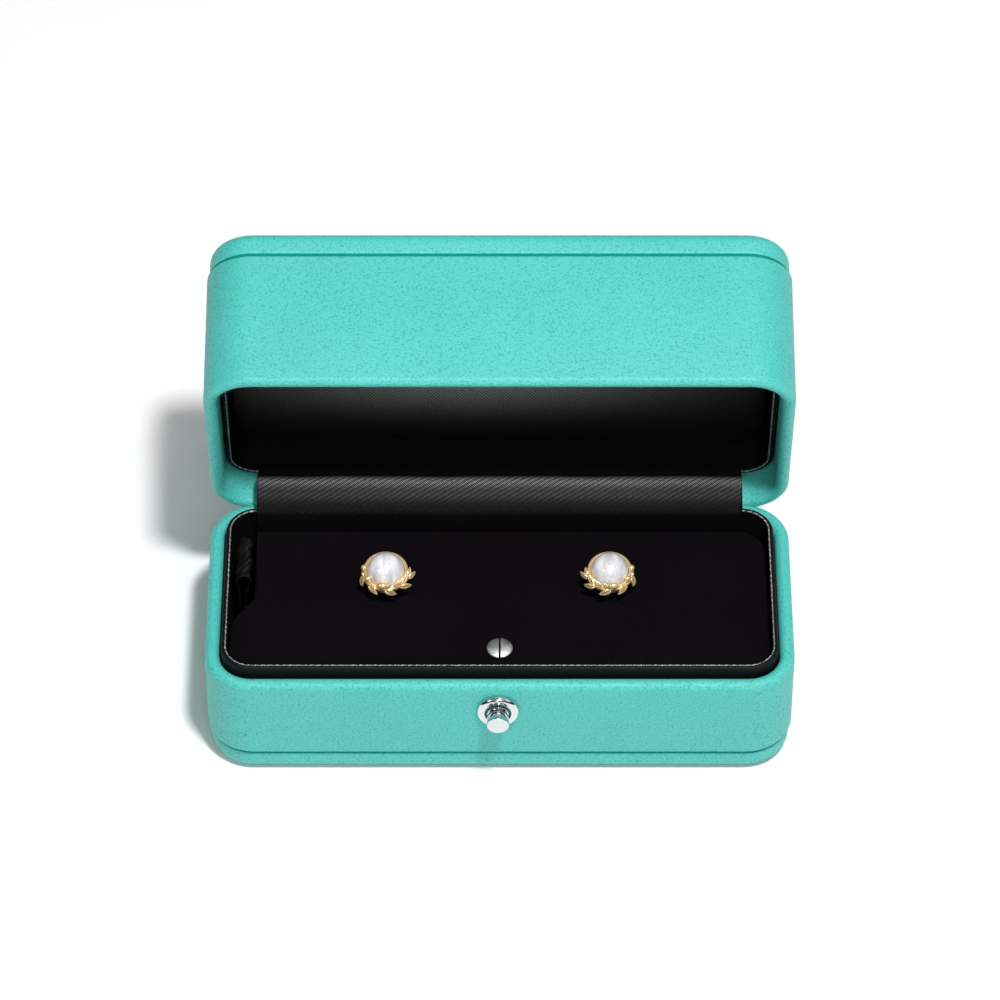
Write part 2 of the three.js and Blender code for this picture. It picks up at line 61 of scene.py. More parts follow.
# The camera stands a metre away, in front of the box and above it, and looks down on the open lid through
# a long lens. Its place, its tilt and its lens are fitted to the box's edges.
CAMERA_PLACE = (0.00006, -0.6704, 0.7572)
CAMERA_DOWN = math.radians(46.54)
CAMERA_LENS = 190.0
CAMERA_SENSOR = 36.0

camera_data = bpy.data.cameras.new("camera")
camera_data.lens = CAMERA_LENS
camera_data.sensor_width = CAMERA_SENSOR
camera = bpy.data.objects.new("camera", camera_data)
camera.location = CAMERA_PLACE
camera.rotation_euler = (math.pi / 2 - CAMERA_DOWN, 0, 0)
scene.collection.objects.link(camera)
scene.camera = camera

# The box's outer walls: board covered in fine-grained turquoise leather, turned over round rims.
# Each half is a wall and a plate, glued to a core whose edge fills the groove between them; that edge
# is coloured dark teal as painted shade of the groove.
# The walls and plates are profiles carried round the box's plan, a rectangle with round corners.


def corners(node):
    """A node's lowest and highest corner in millimetres."""
    return [np.array(corner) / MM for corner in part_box(node)]


wall_low, wall_high = corners("base_wall")
plate_low, plate_high = corners("base_plate")
HALF_LENGTH, HALF_DEPTH, RIM_Z = wall_high
CORNER_R = 8.9
LEAST_R = 0.4
BASE_WALL = 2.8
LID_WALL = 2.5
LID_H = 33.9
LID_PLATE_T = 5.55
RIM_GAP = 0.35
GROOVE = 0.5
GROOVE_EDGE_R = 0.6
PLATE_INSET = HALF_LENGTH - plate_high[0]
PLATE_EDGE_R = 2.95
CORE_INSET = 1.4
SEAM_INSET = 0.12
SEAM_IN_WALL = 0.03
SEAM_IN_PLATE = 0.28
ARC_STEPS = 24
GROOVE_EDGE_STEPS = 6
RIM_STEPS = 24
PLATE_EDGE_STEPS = 16
LID_RIM_Z = RIM_Z + RIM_GAP
LID_TOP_Z = LID_RIM_Z + LID_H
LID_PLATE_Z = LID_TOP_Z - LID_PLATE_T

hinge = next(joint for joint in frame["joints"] if joint["name"] == "lid_hinge")
HINGE_Y, HINGE_Z = np.array(hinge["pos_m"][1:]) / MM
OPEN_ANGLE = math.radians(hinge["range_deg"][1])


def opened(points):
    """Points of the closed lid turned back about the hinge axis by the angle at which it stands open."""
    x, y, z = np.moveaxis(np.asarray(points, float), -1, 0)
    c, s = math.cos(OPEN_ANGLE), math.sin(OPEN_ANGLE)
    y, z = y - HINGE_Y, z - HINGE_Z
    return np.stack([x, HINGE_Y + y * c + z * s, HINGE_Z - y * s + z * c], -1)


def arc(middle, r, start, end, steps):
    """Points on a circular arc round middle, from the start angle to the end angle in degrees."""
    angle = np.radians(np.linspace(start, end, steps + 1))
    return np.stack([middle[0] + r * np.cos(angle), middle[1] + r * np.sin(angle)], -1)


def plan(profile):
    """The box's plan drawn in by each inset of an [inset, z] profile: four quarter circles whose radius is
    the corner's less the inset, joined by straight sides."""
    inset, z = np.asarray(profile, float).T[:, :, None]
    r = np.maximum(CORNER_R - inset, LEAST_R)
    quarter = np.arange(4).repeat(ARC_STEPS + 1)
    angle = (quarter + np.tile(np.linspace(0, 1, ARC_STEPS + 1), 4)) * math.pi / 2
    side_x = np.where((quarter == 0) | (quarter == 3), 1, -1)
    side_y = np.where(quarter < 2, 1, -1)
    x = side_x * (HALF_LENGTH - inset - r) + r * np.cos(angle)
    y = side_y * (HALF_DEPTH - inset - r) + r * np.sin(angle)
    return np.stack([x, y, np.broadcast_to(z, x.shape)], -1)


def quads(rows, columns, rows_close, columns_close):
    """The four point numbers of each face of a grid, whose rows and columns may close on themselves."""
    row = np.arange(rows if rows_close else rows - 1)[:, None]
    column = np.arange(columns if columns_close else columns - 1)[None, :]
    next_row, next_column = (row + 1) % rows, (column + 1) % columns
    faces = [row * columns + column, row * columns + next_column,
             next_row * columns + next_column, next_row * columns + column]
    return np.stack(faces, -1).reshape(-1, 4)


SAME_PLACE = 2e-7
SHARP_DEG = 42


def new_piece(name, grids, weave=None):
    """A mesh from grids of points in millimetres, each with (rows close, columns close, ends are capped).
    Points that meet are joined, and closed shells get their faces pointing out. weave gives each point of
    a single grid its place on the flat cloth, in millimetres, which the woven finishes read."""
    points, faces, start = [], [], 0
    for grid, rows_close, columns_close, capped in grids:
        rows, columns = grid.shape[:2]
        faces += (quads(rows, columns, rows_close, columns_close) + start).tolist()
        if capped:
            faces += [list(range(start, start + columns))]
            faces += [list(range(start + (rows - 1) * columns, start + rows * columns))]
        points.append(grid.reshape(-1, 3))
        start += rows * columns
    mesh = bpy.data.meshes.new(name)
    mesh.from_pydata((np.concatenate(points) * MM).tolist(), [], faces)
    if weave is not None:
        loops = np.empty(len(mesh.loops), np.int32)
        mesh.loops.foreach_get("vertex_index", loops)
        mesh.uv_layers.new(name="weave").data.foreach_set(
            "uv", np.asarray(weave, np.float32).reshape(-1, 2)[loops].ravel())
    shape = bmesh.new()
    shape.from_mesh(mesh)
    bmesh.ops.remove_doubles(shape, verts=shape.verts, dist=SAME_PLACE)
    bmesh.ops.dissolve_degenerate(shape, edges=shape.edges, dist=SAME_PLACE)
    if all(edge.is_manifold for edge in shape.edges):
        bmesh.ops.recalc_face_normals(shape, faces=shape.faces)
    shape.to_mesh(mesh)
    shape.free()
    mesh.shade_smooth()
    mesh.set_sharp_from_angle(angle=math.radians(SHARP_DEG))
    made = bpy.data.objects.new(name, mesh)
    scene.collection.objects.link(made)
    return made


class Link:
    """A shader socket. Sums, products and the like written with it add Math nodes, and add() adds any
    other node."""

    def __init__(self, tree, socket=None):
        self.tree, self.socket = tree, socket

    def add(self, kind, settings=(), inputs=(), output=0):
        """Adds a node: its settings first, then the values or links of its sockets."""
        node = self.tree.nodes.new(kind)
        for name, value in dict(settings).items():
            if name == "stops":
                ramp = node.color_ramp
                ramp.elements[0].position, ramp.elements[0].color = value[0]
                ramp.elements[1].position, ramp.elements[1].color = value[-1]
                for place, colour in value[1:-1]:
                    ramp.elements.new(place).color = colour
            else:
                setattr(node, name, value)
        for name, value in dict(inputs).items():
            if isinstance(value, Link):
                self.tree.links.new(value.socket, node.inputs[name])
            else:
                node.inputs[name].default_value = value
        return Link(self.tree, node.outputs[output])

    def math(self, operation, first, second=0.0, clamp=False):
        """One sum of two numbers or links, kept between 0 and 1 if clamp is true."""
        return self.add("ShaderNodeMath", {"operation": operation, "use_clamp": clamp}, {0: first, 1: second})

    def __add__(self, other):
        return self.math("ADD", self, other)

    def __sub__(self, other):
        return self.math("SUBTRACT", self, other)

    def __rsub__(self, other):
        return self.math("SUBTRACT", other, self)

    def __mul__(self, other):
        return self.math("MULTIPLY", self, other)

    def __pow__(self, other):
        return self.math("POWER", self, other)

    __radd__ = __add__
    __rmul__ = __mul__

    def wave(self):
        """The sine of this."""
        return self.math("SINE", self)

    def clamped(self):
        """This, kept between 0 and 1."""
        return self.math("ADD", self, 0.0, clamp=True)

    def mixed(self, low, high):
        """The colour low where this is 0 and high where it is 1."""
        return self.add("ShaderNodeMix", {"data_type": "RGBA"}, {0: self, 6: low, 7: high}, 2)

    def part(self, axis):
        """The x, y or z part of a vector, by its number."""
        return self.add("ShaderNodeSeparateXYZ", {}, {0: self}, axis)

    def place(self):
        """The shaded point's place on the piece, in metres."""
        return self.add("ShaderNodeTexCoord", output="Object")

    def noise(self, vector, scale, detail=2.0, roughness=0.5):
        """Smooth noise from 0 to 1 with scale bumps a unit, and finer ones on them."""
        sizes = {"Vector": vector, "Scale": scale, "Detail": detail, "Roughness": roughness}
        return self.add("ShaderNodeTexNoise", {}, sizes)

    def bump(self, height, distance):
        """A normal tilted by the slope of a height from 0 to 1; distance is its full size in metres."""
        sizes = {"Height": height, "Distance": distance}
        return self.add("ShaderNodeBump", {}, sizes, "Normal")


def new_finish(name, **constants):
    """A material with one shader whose unchanging sockets are set. Returns it, a Link that adds nodes to
    it, and a function that leads a link into one of the shader's sockets."""
    material = bpy.data.materials.new(name)
    material.use_nodes = True
    tree = material.node_tree
    shader = tree.nodes["Principled BSDF"]
    for socket, value in constants.items():
        shader.inputs[socket.replace("_", " ")].default_value = value

    def lead(link, socket):
        tree.links.new(link.socket, shader.inputs[socket])

    return material, Link(tree), lead


def leather(name, colour, pore_colour, pores_a_metre, pore_depth, roughness, **constants):
    """Fine-grained leather: many small sunk pores, darker than the rest and gathered in loose patches, on a
    softly uneven surface."""
    material, start, lead = new_finish(name, **constants)
    place = start.place()
    fine = start.noise(place, pores_a_metre, 1.0, 0.6)
    patches = start.noise(place, pores_a_metre * 0.25, 2.0)
    pores = ((fine - 0.53) * 8).clamped() * (patches * 0.8 + 0.5).clamped()
    between = start.noise(place, pores_a_metre * 1.7, 1.0)
    broad = start.noise(place, 60.0, 4.0)
    darkness = (pores * 0.55 + between * 0.4 + broad * 0.25 - 0.2).clamped()
    lead(darkness.mixed(colour, pore_colour), "Base Color")
    lead((pores * 0.12 + roughness).clamped(), "Roughness")
    lead(start.bump(fine * -1.0, pore_depth), "Normal")
    return material


def dress(piece, body, slot, finish, *nodes):
    """Gives a piece its finish and body, and hides the parts of the nodes it stands for. Its slot is not
    used.
    """
    piece.data.materials.append(finish)
    if nodes:
        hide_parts(*nodes)
    if body:
        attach(piece, body)
    return piece


def wall_profile(thickness, foot_z, rim_z):
    """A wall's section, [inset, z]: a small round at its outer foot, a full round over its rim."""
    up = np.sign(rim_z - foot_z)
    foot = arc((GROOVE_EDGE_R, 0), GROOVE_EDGE_R, 270, 180, GROOVE_EDGE_STEPS)
    rim = arc((thickness / 2, 0), thickness / 2, 180, 0, RIM_STEPS)
    foot[:, 1] = foot_z + up * (GROOVE_EDGE_R + foot[:, 1])
    rim[:, 1] = rim_z + up * (rim[:, 1] - thickness / 2)
    return np.concatenate([foot, rim, [[thickness, foot_z]]])


def seam_profile(plate_z, up):
    """The section of the strip that fills the groove beside a plate: the core's edge, coloured dark as
    painted shade.
    """
    low, high = plate_z - up * (GROOVE + SEAM_IN_WALL), plate_z + up * SEAM_IN_PLATE
    inset = PLATE_INSET + SEAM_INSET
    return [[CORE_INSET, low], [inset, low], [inset, high], [CORE_INSET, high]]


def plate_profile(inner_z, outer_z, wall):
    """A plate's section: the core's rib that closes the groove, a small inner round and a large outer
    round."""
    up = np.sign(outer_z - inner_z)
    rib_z = inner_z - up * GROOVE
    core = [[wall, inner_z], [wall, rib_z], [CORE_INSET, rib_z], [CORE_INSET, inner_z]]
    inner = arc((PLATE_INSET + GROOVE_EDGE_R, 0), GROOVE_EDGE_R, 270, 180, GROOVE_EDGE_STEPS)
    outer = arc((PLATE_INSET + PLATE_EDGE_R, 0), PLATE_EDGE_R, 180, 90, PLATE_EDGE_STEPS)
    inner[:, 1] = inner_z + up * (GROOVE_EDGE_R + inner[:, 1])
    outer[:, 1] = outer_z + up * (outer[:, 1] - PLATE_EDGE_R)
    return np.concatenate([core, inner, outer])


def card(name, dark, light):
    """Matt card or paper with fine fibres."""
    material, start, lead = new_finish(name, Roughness=0.9, Specular_IOR_Level=0.1)
    lead(start.noise(start.place(), 1600.0, 3.0).mixed(dark, light), "Base Color")
    return material


turquoise = leather("turquoise_leather", (0.094, 0.565, 0.515, 1), (0.01, 0.33, 0.285, 1),
                    pores_a_metre=2500.0, pore_depth=0.0001, roughness=0.5)
base_wall = new_piece("base_leather_wall", [
    (plan(wall_profile(BASE_WALL, wall_low[2], RIM_Z)), True, True, False)])
dress(base_wall, "base", "turquoise_leather", turquoise, "base_wall")
base_plate = new_piece("base_leather_plate", [
    (plan(plate_profile(plate_high[2], plate_low[2], BASE_WALL)), False, True, True)])
dress(base_plate, "base", "turquoise_leather", turquoise, "base_plate")
lid_wall = new_piece("lid_leather_wall", [
    (opened(plan(wall_profile(LID_WALL, LID_PLATE_Z - GROOVE, LID_RIM_Z))), True, True, False)])
dress(lid_wall, "lid", "turquoise_leather", turquoise, "lid_wall")
lid_plate = new_piece("lid_leather_plate", [
    (opened(plan(plate_profile(LID_PLATE_Z, LID_TOP_Z, LID_WALL))), False, True, True)])
dress(lid_plate, "lid", "turquoise_leather", turquoise, "lid_plate")
# Painted shade: the groove strip's dark teal stands in for the groove's shadow.
groove_shade_card = card("groove_shade_card", (0.002, 0.2, 0.165, 1), (0.004, 0.28, 0.235, 1))
base_seam = new_piece("base_seam", [(plan(seam_profile(plate_high[2], -1)), True, True, False)])
dress(base_seam, "base", "turquoise_leather", groove_shade_card)
lid_seam = new_piece("lid_seam", [(opened(plan(seam_profile(LID_PLATE_Z, 1))), True, True, False)])
dress(lid_seam, "lid", "turquoise_leather", groove_shade_card)

# The bottom of the well under the pad: matt black paper, cut to the well's plan and glued to the bottom
# plate. It shows only beside the pull ribbon.
PAPER_T = 0.12
WELL_CLEAR = 0.05
paper_section = [[BASE_WALL + WELL_CLEAR, z] for z in (plate_high[2], plate_high[2] + PAPER_T)]
black_paper = card("black_paper", (0.002, 0.002, 0.002, 1), (0.004, 0.004, 0.004, 1))
well_paper = new_piece("well_paper", [(plan(paper_section), False, True, True)])
dress(well_paper, "base", "black_velour", black_paper)

# The raised collar of the base and the liner of the lid: thin card covered in smooth black leather, whose
# turned edge is bound with a fine twisted cord. The collar guides the lid's rim when the box is shut.
collar_low, collar_high = corners("base_collar")
CLEAR = 0.3
COLLAR_INSET = HALF_LENGTH - collar_high[0]
COLLAR_T = 1.0
LINER_INSET = LID_WALL + CLEAR
LINER_T = 1.1
LINER_DEPTH = 6.5
CORD_R = 0.12
CORD_PITCH = 1.3
CORD_STEPS_A_TURN = 12
CORD_SIDES = 8
CORD_SEAT_DEG = 55
CORD_SWELL = 0.35
BAND_RIM_STEPS = 16


def band_profile(inset, thickness, foot_z, rim_z):
    """A band's section: straight faces and a full round over its rim."""
    up = np.sign(rim_z - foot_z)
    rim = arc((inset + thickness / 2, 0), thickness / 2, 180, 0, BAND_RIM_STEPS)
    rim[:, 1] = rim_z + up * (rim[:, 1] - thickness / 2)
    return np.concatenate([[[inset, foot_z]], rim, [[inset + thickness, foot_z]]])


def edge_cord(inset, z):
    """A twisted cord round the plan at one inset and height: a round section whose radius swells twice
    round, turning evenly along the way, so that it reads as two strands."""
    way = plan([[inset, z]])[0]
    way = np.concatenate([way, way[:1]])
    along = np.concatenate([[0], np.cumsum(np.linalg.norm(np.diff(way, axis=0), axis=1))])
    turns = round(along[-1] / CORD_PITCH)
    place = np.linspace(0, 1, turns * CORD_STEPS_A_TURN, endpoint=False)[:, None]
    middle = np.stack([np.interp(place[:, 0] * along[-1], along, way[:, k]) for k in range(3)], -1)
    ahead = np.roll(middle, -1, 0) - np.roll(middle, 1, 0)
    outward = np.stack([ahead[:, 1], -ahead[:, 0], 0 * ahead[:, 0]], -1)
    outward /= np.linalg.norm(outward, axis=1, keepdims=True)
    angle = np.linspace(0, 2 * math.pi, CORD_SIDES, endpoint=False)[None, :]
    r = CORD_R * (1 + CORD_SWELL * np.cos(2 * angle + 2 * math.pi * turns * place))
    out = (r * np.cos(angle))[:, :, None] * outward[:, None, :]
    rise = (r * np.sin(angle))[:, :, None] * np.array([0, 0, 1.0])
    return middle[:, None, :] + out + rise


def cord_seat(inset, thickness, rim_z, up):
    """Where the cord's middle lies on the inner side of a band's round rim."""
    angle = math.radians(CORD_SEAT_DEG)
    half = thickness / 2
    return inset + half + half * math.cos(angle), rim_z + up * (half * math.sin(angle) - half)


black_leather = leather("black_leather", (0.0022, 0.002, 0.0022, 1), (0.001, 0.001, 0.001, 1),
                        pores_a_metre=3000.0, pore_depth=0.0001, roughness=0.55, Specular_IOR_Level=0.2)
collar = new_piece("base_leather_collar", [
    (plan(band_profile(COLLAR_INSET, COLLAR_T, collar_low[2], collar_high[2])), True, True, False)])
dress(collar, "base", "black_leather", black_leather, "base_collar")
liner = new_piece("lid_leather_liner", [
    (opened(plan(band_profile(LINER_INSET, LINER_T, LID_PLATE_Z - CLEAR, LID_RIM_Z + LINER_DEPTH))),
     True, True, False)])
dress(liner, "lid", "black_leather", black_leather, "lid_liner")

binding, start, lead = new_finish("binding_cord", Roughness=0.36)
# The cord's pale flecks are partly lighter fibres and partly painted glints along the collar's edge.
fibres_and_glints = start.noise(start.place(), 3600.0, 2.0)
lead((fibres_and_glints * 5 - 1.9).clamped().mixed((0.03, 0.028, 0.03, 1), (0.45, 0.44, 0.45, 1)), "Base Color")
collar_cord = new_piece("collar_cord", [
    (edge_cord(*cord_seat(COLLAR_INSET, COLLAR_T, collar_high[2], 1)), True, True, False)])
dress(collar_cord, "base", "black_leather", binding)
liner_cord = new_piece("liner_cord", [
    (opened(edge_cord(*cord_seat(LINER_INSET, LINER_T, LID_RIM_Z + LINER_DEPTH, -1))), True, True, False)])
dress(liner_cord, "lid", "black_leather", binding)

# The pad that holds the studs: a foam block covered in short black velour, with soft edges. Its rear left
# corner is cut back to leave room for the pull ribbon.
pad_low, pad_high = corners("base_pad")
PAD_CORNER_R = 5.5
PAD_EDGE_R = 0.9
NOTCH_W = 4.3
NOTCH_L = 16.0
NOTCH_RUNOUT = 8.5
PAD_EDGE_STEPS = 12


def pad_outline():
    """The pad's plan, from the notch round by the front: a smooth run-out, and quarter circles at three
    corners. Returns the points and the directions that point out of the pad."""
    left, right, front, rear = pad_low[0], pad_high[0], pad_low[1], pad_high[1]
    r = PAD_CORNER_R
    notch_x, notch_y = left + NOTCH_W, rear - NOTCH_L
    t = np.linspace(0, 1, 25)[:, None]
    ease = t * t * (3 - 2 * t)
    runout = np.concatenate([notch_x + (left - notch_x) * ease, notch_y - NOTCH_RUNOUT * t], -1)
    points = np.concatenate([
        [[notch_x, rear]],
        runout,
        arc((left + r, front + r), r, 180, 270, ARC_STEPS),
        arc((right - r, front + r), r, 270, 360, ARC_STEPS),
        arc((right - r, rear - r), r, 0, 90, ARC_STEPS),
    ])
    ahead = np.roll(points, -1, 0) - np.roll(points, 1, 0)
    ahead /= np.linalg.norm(ahead, axis=1, keepdims=True)
    return points, np.stack([ahead[:, 1], -ahead[:, 0]], -1)


def pad_grid():
    """The outline carried up the pad's side and drawn in over a quarter circle at the top edge."""
    points, out = pad_outline()
    edge = arc((PAD_EDGE_R, pad_high[2] - PAD_EDGE_R), PAD_EDGE_R, 180, 90, PAD_EDGE_STEPS)
    profile = np.concatenate([[[0, pad_low[2]]], edge])
    plan_points = points[None] - profile[:, :1, None] * out[None]
    heights = np.broadcast_to(profile[:, 1, None, None], (*plan_points.shape[:2], 1))
    return np.concatenate([plan_points, heights], -1)


velour, start, lead = new_finish("black_velour", Roughness=0.95, Specular_IOR_Level=0.04)
place = start.place()
pile = start.noise(place, 5200.0, 3.0)
brushed = start.noise(place, 55.0, 3.0)
raised = (pile * 0.7 + brushed * 0.5 - 0.1).clamped()
lead(raised.mixed((0.0018, 0.0015, 0.0019, 1), (0.006, 0.0046, 0.006, 1)), "Base Color")
lead(start.bump(pile, 0.00004), "Normal")
pad = new_piece("velour_pad", [(pad_grid(), False, True, True)])
dress(pad, "base", "black_velour", velour, "base_pad")

# The pull ribbon: a satin ribbon folded double and glued under the pad, which stands up in the notch so
# that a finger can lift the pad by it. It is creased where it has been held.
ribbon_low, ribbon_high = corners("pull_ribbon")
CLOTH_T = 0.35
RIBBON_PINCH = 0.3
RIBBON_CREASE = 0.16
RIBBON_FINE_CREASE = 0.08
RIBBON_DIP = 0.12
RIBBON_LENGTH_STEPS = 64
RIBBON_WIDTH_STEPS = 24


def satin(name, colour, sheen_colour, pitch, float_length, roughness):
    """Satin in a twill weave: fine diagonal ribs, pitch millimetres apart, broken into floats, with uneven
    threads. The crests of the threads are painted towards a light colour as painted sheen. It reads the
    cloth's own flat sizes."""
    material, start, lead = new_finish(name, Specular_IOR_Level=0.12)
    flat = start.add("ShaderNodeUVMap", {"uv_map": "weave"})
    along, across = flat.part(0), flat.part(1)
    uneven = start.noise(flat, 0.7, 2.0)
    ribs = ((along + across) * (2 * math.pi / pitch) + uneven * 1.6).wave()
    floats = ((along - across * 0.6) * (2 * math.pi / float_length)).wave()
    height = (ribs * 0.5 + 0.5) * (floats * 0.25 + 0.75)
    slubs = start.noise(flat, 2.3, 3.0)
    # Painted sheen: the raised threads are painted lighter, towards the sheen colour.
    painted_sheen = (height ** 2 * (slubs * 1.6 + 0.1)).clamped()
    lead(painted_sheen.mixed(colour, sheen_colour), "Base Color")
    lead((roughness + (1 - height) * 0.25).clamped(), "Roughness")
    lead(start.bump(height, 0.00011), "Normal")
    return material


def paint_lit_patches(material, places, least):
    """Paints light into a satin's woven colour: multiplies it by bell curves on the flat cloth, each with its
    middle, its reach and its height, over the least share, so the bells' places read as a painted lit patch
    and the rest as painted shade."""
    tree = material.node_tree
    start = Link(tree)
    shader = tree.nodes["Principled BSDF"]
    woven = Link(tree, shader.inputs["Base Color"].links[0].from_socket)
    flat = start.add("ShaderNodeUVMap", {"uv_map": "weave"})
    along, across = flat.part(0), flat.part(1)
    bell = least
    for middle, reach, height in places:
        off = ((along - middle[0]) * (1 / reach[0])) ** 2.0 + ((across - middle[1]) * (1 / reach[1])) ** 2.0
        bell = start.math("EXPONENT", off * -1.0) * height + bell
    share = start.add("ShaderNodeCombineColor", {}, {0: bell, 1: bell, 2: bell})
    # Painted light and shade: the woven colour times the bells, lit at their middles, darkened elsewhere.
    lit = start.add("ShaderNodeMix", {"data_type": "RGBA", "blend_type": "MULTIPLY"},
                    {0: 1.0, 6: woven, 7: share}, 2)
    tree.links.new(lit.socket, shader.inputs["Base Color"])


def ribbon_grid():
    """The folded ribbon's middle surface: up one leg, over a half circle and down the other. A wave that
    grows towards the top creases it, and it leans a little along the notch."""
    loop_r = (ribbon_high[0] - ribbon_low[0]) / 2 - CLOTH_T
    middle_x = (ribbon_high[0] + ribbon_low[0]) / 2
    arch_z = ribbon_high[2] - CLOTH_T - loop_r
    leg = arch_z - ribbon_low[2]
    length = 2 * leg + math.pi * loop_r
    s = np.linspace(0, length, RIBBON_LENGTH_STEPS)
    turn = np.clip((s - leg) / loop_r, 0, math.pi)
    x = -loop_r * np.cos(turn)
    z = np.where(s < leg, s - leg, np.where(s > length - leg, length - leg - s, loop_r * np.sin(turn)))
    y = np.linspace(ribbon_low[1], ribbon_high[1], RIBBON_WIDTH_STEPS)
    share = np.clip(1 + z / leg, 0, 1)[:, None]
    wave = 1.3 * y[None, :] + 0.6
    crease = RIBBON_CREASE * np.sin(wave) + RIBBON_FINE_CREASE * np.sin(3.1 * y[None, :])
    grid = np.empty((len(s), len(y), 3))
    squeeze = RIBBON_PINCH + (1 - RIBBON_PINCH) * share ** 3
    grid[..., 0] = middle_x + x[:, None] * squeeze + share * crease - (1 - share) * loop_r / 2
    grid[..., 1] = y[None, :]
    grid[..., 2] = arch_z + z[:, None] - RIBBON_DIP * share * (1 - np.cos(wave)) / 2
    flat = np.stack(np.meshgrid(s, y - y[0], indexing="ij"), -1)
    return grid, flat, length


def thicken(piece, thickness):
    """Gives a middle surface its wall, half to each side."""
    wall = piece.modifiers.new("cloth", "SOLIDIFY")
    wall.thickness = thickness * MM
    wall.offset = 0


ribbon_satin = satin("ribbon_satin", (0.001, 0.001, 0.001, 1), (0.03, 0.03, 0.03, 1), 0.5, 1.1, 0.25)
grid, flat, ribbon_length = ribbon_grid()
ribbon = new_piece("satin_pull_ribbon", [(grid, False, False, False)], flat)
thicken(ribbon, CLOTH_T)
dress(ribbon, "base", "black_satin", ribbon_satin, "pull_ribbon")
ribbon_length * MM

# The satin panel inside the lid: a board padded with a thin wadding, covered in black satin and pressed
# into the liner. Its edges are softly rounded and its middle stands a little proud.
LINING_INSET = LINER_INSET + LINER_T + CLEAR
LINING_DEPTH = 13.0
LINING_T = 2.5
LINING_CROWN = 0.5
LINING_ROUND = 1.4
LINING_EDGE_SHARE = 0.1
LINING_CROWN_SHARE = 0.88


def lining_grid():
    """Rings drawn from the panel's outline to its middle: the height rises by a steep ease over the round
    edge and then by a slow crown."""
    outline = plan([[LINING_INSET, 0]])[0][:, :2]
    over_edge = 1 - LINING_EDGE_SHARE * np.linspace(0, 1, 24)[1:] ** 2
    share = np.concatenate([[1, 1], over_edge, np.linspace(LINING_CROWN_SHARE, 0, 20)])
    inward = (1 - share) * (HALF_DEPTH - LINING_INSET)
    edge = np.clip(inward / LINING_ROUND, 0, 1)
    rise = LINING_ROUND * np.sqrt(1 - (1 - edge) ** 2) + LINING_CROWN * (1 - share ** 2)
    near = LID_RIM_Z + LINING_DEPTH
    z = near + LINING_ROUND + LINING_CROWN - rise
    z[0] = near + LINING_T + LINING_CROWN
    points = outline[None] * share[:, None, None]
    grid = np.concatenate([points, np.broadcast_to(z[:, None, None], (*points.shape[:2], 1))], -1)
    return opened(grid), points


# Painted light: the sheen colour is bright, a broad patch of the panel is painted lit and the rest painted
# darker.
lining_satin = satin("lining_satin", (0.04, 0.04, 0.041, 1), (0.85, 0.85, 0.86, 1), 0.4, 0.7, 0.5)
paint_lit_patches(lining_satin, [((-6.0, -2.0), (34.0, 9.0), 1.0)], 0.03)
grid, flat = lining_grid()
lining = new_piece("satin_lid_panel", [(grid, False, True, True)], flat)
dress(lining, "lid", "black_satin", lining_satin, "lid_lining")

# The hinge cloth: a strip of black satin glued inside the lid's back and tucked behind the pad. It lies
# over the collar and the hinge line in one soft roll.
cloth_low, cloth_high = corners("hinge_cloth")
CLOTH_STEPS = 56
CLOTH_WIDTH_STEPS = 150
CLOTH_WAVE = 0.16
COLLAR_INNER_Y = HALF_DEPTH - COLLAR_INSET - COLLAR_T
TUCK_Y = COLLAR_INNER_Y - CLEAR - 0.5
TUCK_LEAN = 0.25
TUCK_BELOW_RIM = 0.6
CLOTH_WAVES = [
    # [height, radians a mm along the hinge, phase, radians over the cloth's length]
    [1.0, 0.21, 0.8, 0.0],
    [0.6, 0.47, 2.0, 2.0],
    [0.35, 1.1, 0.0, 5.0],
]
CLOTH_ROLL = [
    # [y, z] from the hinge axis
    [-2.2, 3.95],
    [-0.8, 5.05],
    [1.2, 6.15],
    [2.7, 6.65],
    [3.6, 6.6],
    [4.5, 6.0],
]
CLOTH_ON_LINER = [
    # [clear of the liner, past its edge]
    [0.5, -1.6],
    [0.42, 0.0],
    [0.34, 1.1],
]


def smooth_way(points, steps):
    """A smooth curve through the points, evenly divided: each stretch is the cubic whose slopes follow the
    neighbouring points."""
    points = np.asarray(points, float)
    padded_points = np.concatenate([[2 * points[0] - points[1]], points, [2 * points[-1] - points[-2]]])
    t = np.linspace(0, 1, 12, endpoint=False)[:, None, None]
    a, b, c, d = (padded_points[k:len(points) - 1 + k][None] for k in range(4))
    curve = 0.5 * (2 * b + (c - a) * t + (2 * a - 5 * b + 4 * c - d) * t ** 2
                   + (3 * b - a - 3 * c + d) * t ** 3)
    curve = np.concatenate([curve.transpose(1, 0, 2).reshape(-1, points.shape[1]), points[-1:]])
    along = np.concatenate([[0], np.cumsum(np.linalg.norm(np.diff(curve, axis=0), axis=1))])
    place = np.linspace(0, along[-1], steps)
    return np.stack([np.interp(place, along, curve[:, k]) for k in range(points.shape[1])], -1), along[-1]


def hinge_cloth_way():
    """The cloth's section, [y, z]: up behind the pad, over the collar, round the hinge and into the lid."""
    liner_y, liner_z = HALF_DEPTH - LINER_INSET - LINER_T, LID_RIM_Z + LINER_DEPTH
    over_liner = [[0, liner_y - away, liner_z + past] for away, past in CLOTH_ON_LINER]
    return smooth_way([
        [TUCK_Y, cloth_low[2]],
        [TUCK_Y, (cloth_low[2] + collar_high[2]) / 2],
        [TUCK_Y + TUCK_LEAN, collar_high[2] - TUCK_BELOW_RIM],
        *(np.array(CLOTH_ROLL) + [HINGE_Y, HINGE_Z]),
        *opened(over_liner)[:, 1:],
    ], CLOTH_STEPS)


